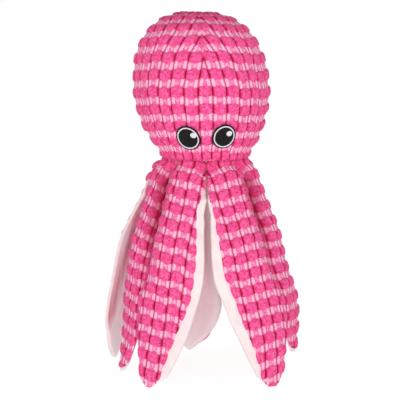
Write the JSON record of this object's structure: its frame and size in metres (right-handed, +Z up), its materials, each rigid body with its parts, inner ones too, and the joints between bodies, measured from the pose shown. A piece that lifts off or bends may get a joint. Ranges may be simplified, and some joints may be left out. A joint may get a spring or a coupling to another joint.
{
  "type": "plush octopus",
  "caption": "Plush octopus: a stuffed head of bubble corduroy with stitched eyes, on a ring of flat lined legs that swing out from the neck.",
  "frame": {"origin": "on the floor, at the middle of the toy's bounding box seen from above", "axes": "+Z up from the leg tips to the crown, the face looks along -Y, +X is on the viewer's right when the face is seen"},
  "size_m": [0.168, 0.1419, 0.3017],
  "materials": {
    "bubble_corduroy": "matte",
    "short_plush": "matte",
    "black_stitching": "satin",
    "white_stitching": "satin",
    "fibre_filling": "matte",
    "squeaker_plastic": "satin",
    "crinkle_film": "satin"
  },
  "bodies": {
    "head": {"head_cover_front": "bubble_corduroy", "head_cover_back": "bubble_corduroy", "head_filling": "fibre_filling", "squeaker_bulb": "squeaker_plastic", "squeaker_reed": "squeaker_plastic", "base_disc": "short_plush", "closing_thread": "white_stitching", "left_eye_disc": "black_stitching", "left_eye_ring": "white_stitching", "left_eye_glint": "white_stitching", "right_eye_disc": "black_stitching", "right_eye_ring": "white_stitching", "right_eye_glint": "white_stitching"},
    "front_left_leg": {"front_left_leg_panel": "bubble_corduroy", "front_left_leg_crinkle": "crinkle_film", "front_left_leg_lining": "short_plush"},
    "front_right_leg": {"front_right_leg_panel": "bubble_corduroy", "front_right_leg_crinkle": "crinkle_film", "front_right_leg_lining": "short_plush"},
    "right_leg": {"right_leg_panel": "bubble_corduroy", "right_leg_crinkle": "crinkle_film", "right_leg_lining": "short_plush"},
    "rear_right_leg": {"rear_right_leg_panel": "bubble_corduroy", "rear_right_leg_crinkle": "crinkle_film", "rear_right_leg_lining": "short_plush"},
    "back_right_leg": {"back_right_leg_panel": "bubble_corduroy", "back_right_leg_crinkle": "crinkle_film", "back_right_leg_lining": "short_plush"},
    "back_left_leg": {"back_left_leg_panel": "bubble_corduroy", "back_left_leg_crinkle": "crinkle_film", "back_left_leg_lining": "short_plush"},
    "rear_left_leg": {"rear_left_leg_panel": "bubble_corduroy", "rear_left_leg_crinkle": "crinkle_film", "rear_left_leg_lining": "short_plush"},
    "left_leg": {"left_leg_panel": "bubble_corduroy", "left_leg_crinkle": "crinkle_film", "left_leg_lining": "short_plush"}
  },
  "joints": [
    {"name": "front_left_swing", "type": "hinge", "parent": "head", "child": "front_left_leg", "pos_m": [-0.01155, -0.02308, 0.1787], "axis": [-0.9048, 0.4258, 0], "range_deg": [0, 95]},
    {"name": "front_right_swing", "type": "hinge", "parent": "head", "child": "front_right_leg", "pos_m": [0.02162, -0.02225, 0.1787], "axis": [-0.8823, -0.4707, 0], "range_deg": [0, 95]},
    {"name": "right_swing", "type": "hinge", "parent": "head", "child": "right_leg", "pos_m": [0.03939, -0.00103, 0.1787], "axis": [-0.309, -0.9511, 0], "range_deg": [0, 95]},
    {"name": "rear_right_swing", "type": "hinge", "parent": "head", "child": "rear_right_leg", "pos_m": [0.03852, 0.02424, 0.1787], "axis": [0.374, -0.9274, 0], "range_deg": [0, 95]},
    {"name": "back_right_swing", "type": "hinge", "parent": "head", "child": "back_right_leg", "pos_m": [0.02263, 0.04248, 0.1787], "axis": [0.8671, -0.4982, 0], "range_deg": [0, 95]},
    {"name": "back_left_swing", "type": "hinge", "parent": "head", "child": "back_left_leg", "pos_m": [-0.0041, 0.04646, 0.1787], "axis": [0.9745, 0.2243, 0], "range_deg": [0, 95]},
    {"name": "rear_left_swing", "type": "hinge", "parent": "head", "child": "rear_left_leg", "pos_m": [-0.02908, 0.02657, 0.1787], "axis": [0.4371, 0.8994, 0], "range_deg": [0, 95]},
    {"name": "left_swing", "type": "hinge", "parent": "head", "child": "left_leg", "pos_m": [-0.03053, -0.00235, 0.1787], "axis": [-0.3446, 0.9387, 0], "range_deg": [0, 95]}
  ]
}
